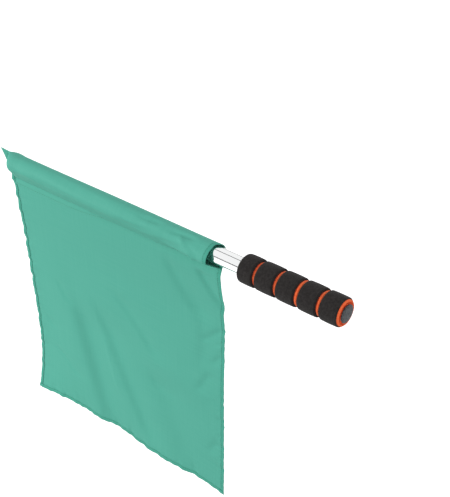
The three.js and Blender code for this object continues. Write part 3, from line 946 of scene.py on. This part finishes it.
# Painted shade: both greens are darker than the thread's dye, for the crease along the seam, and
# the darker bands stand for shade between the plies
dye_and_painted_shade = add_node(tree, "Mix", data_type="RGBA", inputs={
    "Factor": twist.outputs["Fac"], "A": linear("#2d7f6a"), "B": linear("#41987f")})
bump = add_node(tree, "Bump", {
    "Height": twist.outputs["Fac"], "Strength": 0.3, "Distance": 0.05 * MM})
fill(tree, shader, {"Base Color": dye_and_painted_shade.outputs["Result"], "Normal": bump.outputs["Normal"]})

# %% A row of stitches
STITCH, STITCH_GAP, THREAD_WIDTH = 2.6, 0.5, 0.36
# How deep a row's middle lies from the cloth's, on its outside and on a hem's inside
PROUD = 0.08
OUTSIDE = -(WALL / 2 + PROUD)
INSIDE = LAYER + WALL / 2 + PROUD


def stitch_row(c, r, depth):
    """Stitches along a line of the cloth, at a depth from its middle. Returns their points."""
    c, r = np.broadcast_arrays(np.asarray(c, float), np.asarray(r, float))
    _, _, into = steps_at(c, r)
    line = cloth_place(c, r) + into * depth
    run = np.concatenate([[0], np.cumsum(length_of(np.diff(line, axis=0)))])
    starts = np.arange(0.3, run[-1] - STITCH, STITCH + STITCH_GAP)

    def at(values, where):
        return np.stack([np.interp(where, run, values[:, k]) for k in range(3)], -1)

    first, last = at(line, starts), at(line, starts + STITCH)
    up = at(into, starts + STITCH / 2) * np.sign(depth)
    forward = last - first
    sideways = np.cross(up, forward)
    sideways /= length_of(sideways)[:, None]
    up = np.cross(forward, sideways) / length_of(forward)[:, None]
    middle = (first + last) / 2
    x, y, z = stitch_points.T
    return (middle[:, None] + forward[:, None] * x[:, None]
            + (sideways[:, None] * y[:, None] + up[:, None] * z[:, None]) * THREAD_WIDTH)


def sew(name, lines):
    """One piece of thread along several lines, each copied from the one stitch."""
    blocks = [stitch_row(*line) for line in lines]
    points = np.concatenate([block.reshape(-1, 3) for block in blocks]) * MM
    total = sum(len(block) for block in blocks)
    faces = [[corner + n * len(stitch_points) for corner in face]
             for n in range(total) for face in stitch_faces]
    piece = mesh_piece(name, points, faces)
    piece.data.materials.append(thread)
    print(name, total, "stitches")
    return piece


# %% Stitches along the hems
# How far the stitches lie from a hem's edge. The pocket's point has its own units.
SEWN_IN, SEWN_IN_TIP = 4.2, 4.6
whole_r = np.concatenate([np.linspace(0.05, 3, 240), np.linspace(3.01, last_row - 0.02, 400)])
whole_c = np.linspace(2, columns[-1] - 1, 500)
tip_c = columns[-1] - SEWN_IN_TIP
bottom_r = last_row - SEWN_IN / ROW
EDGES = (("mouth", SEWN_IN, whole_r), ("tip", tip_c, whole_r), ("bottom", whole_c, bottom_r))
mouth_stitches, tip_stitches, bottom_stitches = [
    sew(f"hem_stitches_{edge}", [(c, r, INSIDE), (c, r, OUTSIDE)]) for edge, c, r in EDGES]

# %% Stitches along the pocket's flap
# Each row shows on the flap and, at the same height, on the cloth's back
shape = pocket_shape(MOUTH_X - np.minimum(whole_c, PLAIN))
flat_length, slack_length, _ = front_lengths(shape)
_, radius, (_, edge_z), (_, sewn_z), _, back = shape
rear_z = radius * np.cos(back)
seam_lines = []
for share in SEAM_ROWS:
    row_z = edge_z + (sewn_z - edge_z) * share
    above_r, below_r = 2 + (row_z - rear_z) / (SEAM_Z - rear_z), 3 + (SEAM_Z - row_z) / ROW
    behind_r = np.where(row_z > SEAM_Z, above_r, below_r)
    front_r = share * flat_length / (flat_length + slack_length)
    seam_lines += [(whole_c, front_r, OUTSIDE), (whole_c, behind_r, OUTSIDE)]
seam_stitches = sew("seam_stitches", seam_lines)

# %% [markdown]
# ### The cloth's joints
#
# The pocket turns on the tube, and the panel swings under the pocket's seam. The cloth is one
# piece, and it stays where it is made, on neither body. The bottom hem's stitches go with the
# panel, and the seam's stitches go with the pocket.

# %% Hang the cloth in the frame
for piece in (cloth, mouth_stitches, tip_stitches):
    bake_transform(piece)
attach(bottom_stitches, "panel")
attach(seam_stitches, "pocket")
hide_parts("flag_pocket", "flag_panel")

# %% [markdown]
# ### The frame's own solids
#
# The pieces above take the place of the frame's solids, which get the same finishes, so that the
# frame looks right by itself too.

# %% Every solid of the frame gets its material
FINISHES = {"pole_tube": steel, "tip_plug": plastic, "butt_cap": plastic, "grip_core": orange_foam,
            "flag_pocket": weave, "flag_panel": weave}
for node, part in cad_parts.items():
    part.data.materials.clear()
    part.data.materials.append(FINISHES.get(node, black_foam))
print(len(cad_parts), "solids")

# %% [markdown]
# ## The studio
#
# The flag is held level, high above a pale floor, in a white room. The camera sees the white room
# itself, and so does everything glossy. The light on the flag is kept plain: an even room light,
# a soft lamp from the left, and two weak ones, from the right and from behind.

# %% The floor
WHITE = (1, 1, 1, 1)


def in_view(tree):
    """1 for rays from the camera and off glossy or clear things, and 0 for all others."""
    ray = add_node(tree, "LightPath")
    seen = ray.outputs["Is Camera Ray"]
    for kind in ("Is Glossy Ray", "Is Transmission Ray"):
        seen = add_node(tree, "Math", {0: seen, 1: ray.outputs[kind]},
                        operation="MAXIMUM").outputs["Value"]
    return seen


bpy.ops.mesh.primitive_plane_add(size=16, location=(0, 0, -1.3))
floor = bpy.context.object
floor.name = "floor"
floor_paint, tree, _ = new_material("painted floor, pale")
tree.nodes.clear()
paint = add_node(tree, "BsdfDiffuse", {"Color": linear("#b0b0b0")})
glow = add_node(tree, "Emission", {"Color": WHITE, "Strength": in_view(tree)})
both = add_node(tree, "AddShader", {0: paint.outputs["BSDF"], 1: glow.outputs["Emission"]})
add_node(tree, "OutputMaterial", {"Surface": both.outputs["Shader"]})
floor.data.materials.append(floor_paint)

# %% The room
ROOM_LIGHT = 0.68
room = bpy.data.worlds.new("white room")
room.use_nodes = True
bpy.context.scene.world = room
tree = room.node_tree
tree.nodes.clear()
level = add_node(tree, "MapRange", {"Value": in_view(tree), "To Min": ROOM_LIGHT, "To Max": 1.0})
sky = add_node(tree, "Background", {"Color": WHITE, "Strength": level.outputs["Result"]})
add_node(tree, "OutputWorld", {"Surface": sky.outputs["Background"]})
print("room light:", ROOM_LIGHT)

# %% [markdown]
# A mirror-bright tube in an all-white room would be a white shape. Photographers hang thin black
# strips where the tube reflects them. Four long strips do it here: above, in front, behind and
# below. Only glossy rays see them.

# %% Strips that the tube reflects
black_card, _, _ = new_material("card, black", Base_Color=linear("#101010"))
# Each strip's middle, its length and width, and how far it is tilted
STRIPS = [((0, 0.045, 0.75), (3, 0.1), 0), ((0, -0.75, 0.065), (3, 0.13), math.pi / 2),
          ((0, 0.75, 0.065), (3, 0.13), math.pi / 2), ((0, -0.03, -0.75), (3, 0.16), 0)]
for number, (middle, size, tilt) in enumerate(STRIPS, 1):
    bpy.ops.mesh.primitive_plane_add(size=1, location=middle, rotation=(tilt, 0, 0))
    card = bpy.context.object
    card.name = f"strip_{number}"
    card.scale = (size[0], size[1], 1)
    card.data.materials.append(black_card)
    card.visible_camera = card.visible_diffuse = card.visible_shadow = False
    card.visible_transmission = card.visible_volume_scatter = False
print(len(STRIPS), "strips")


# %% Lamps
def soft_lamp(name, place, target, side, watts):
    """A square soft lamp that looks at a target."""
    data = bpy.data.lights.new(name, "AREA")
    data.size, data.energy = side, watts
    lamp = new_object(name, data)
    lamp.location = place
    aim = np.array(place) - np.array(target)
    lamp.rotation_euler = (math.acos(aim[2] / np.linalg.norm(aim)), 0, math.atan2(aim[0], -aim[1]))
    print("lamp:", name, watts, "W")


CLOTH_MIDDLE = (-0.2, 0, -0.1)
soft_lamp("key", (-2.0, -1.4, 0.15), CLOTH_MIDDLE, 0.8, 27)
soft_lamp("fill", (1.4, -1.2, 0.4), (0, 0, 0), 0.8, 6)
soft_lamp("back", (-0.6, 2.0, 0.2), CLOTH_MIDDLE, 1.0, 9)

# %% [markdown]
# ## The camera
#
# The photo was taken from above and to the right of the flag, from about a metre away. The focal
# length is that of the photo's perspective: 79.9 mm on a 36 mm frame.

# %% Camera
lens = bpy.data.cameras.new("camera")
lens.lens = 79.88
lens.sensor_width = 36
camera = new_object("camera", lens)
camera.location = (0.53127, -0.7416, 0.6292)
camera.rotation_euler = (math.radians(57.436), 0, math.radians(39.875))
bpy.context.scene.camera = camera
bpy.context.scene.view_settings.view_transform = "Standard"
print("camera:", round(lens.lens, 2), "mm")
